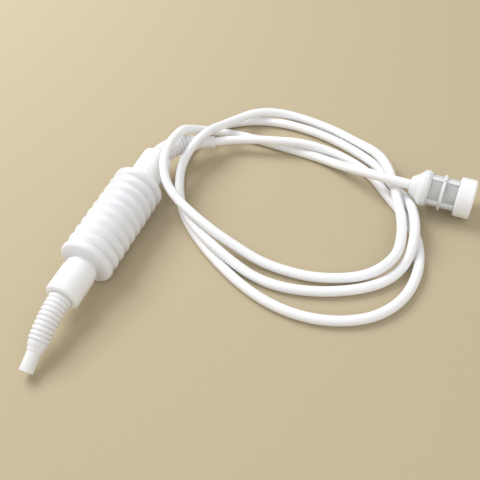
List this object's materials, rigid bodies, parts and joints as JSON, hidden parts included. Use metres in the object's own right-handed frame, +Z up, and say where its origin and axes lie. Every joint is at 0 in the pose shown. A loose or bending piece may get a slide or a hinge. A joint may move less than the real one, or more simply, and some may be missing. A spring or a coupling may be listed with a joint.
{
  "type": "aquarium hand siphon",
  "caption": "Hand siphon for an aquarium: a squeeze bellows between one-way valves, corrugated spouts, a long looped hose and a mesh strainer.",
  "frame": {"origin": "middle of the space that the pump and the strainer span, on the surface they lie on", "axes": "+Y along the pump from its outlet to its inlet, +X from the pump towards the strainer, +Z up"},
  "size_m": [0.2953, 0.3295, 0.045],
  "materials": {
    "bellows_plastic": "translucent white, satin",
    "housing_plastic": "opaque white, satin",
    "spout_plastic": "milky translucent, satin",
    "strainer_plastic": "frosted translucent",
    "mesh": "fine woven nylon",
    "valve_rubber": "matt",
    "hose_rubber": "milky translucent, smooth"
  },
  "bodies": {
    "pump": {"bellows": "bellows_plastic", "inlet_housing": "housing_plastic", "inlet_valve_seat": "housing_plastic", "inlet_valve_cage": "housing_plastic", "inlet_spout": "spout_plastic", "hose": "hose_rubber", "strainer_cage": "strainer_plastic", "strainer_mesh": "mesh"},
    "outlet_end": {"outlet_housing": "housing_plastic", "outlet_valve_seat": "housing_plastic", "outlet_valve_cage": "housing_plastic", "outlet_spout": "spout_plastic"},
    "inlet_disc": {"inlet_valve_disc": "valve_rubber"},
    "outlet_disc": {"outlet_valve_disc": "valve_rubber"},
    "strainer_lid": {"strainer_cap": "housing_plastic"}
  },
  "joints": [
    {"name": "bellows_squeeze", "type": "slide", "parent": "pump", "child": "outlet_end", "axis": [0, 1, 0], "range_m": [0, 0.025], "stiffness_N_per_m": 400, "deforming": ["bellows"]},
    {"name": "inlet_disc_lift", "type": "slide", "parent": "pump", "child": "inlet_disc", "axis": [0, -1, 0], "range_m": [0, 0.0024]},
    {"name": "outlet_disc_lift", "type": "slide", "parent": "outlet_end", "child": "outlet_disc", "axis": [0, -1, 0], "range_m": [0, 0.0024]},
    {"name": "strainer_cap_pull", "type": "slide", "parent": "pump", "child": "strainer_lid", "axis": [0.9945, 0, -0.1045], "range_m": [0, 0.02]}
  ]
}
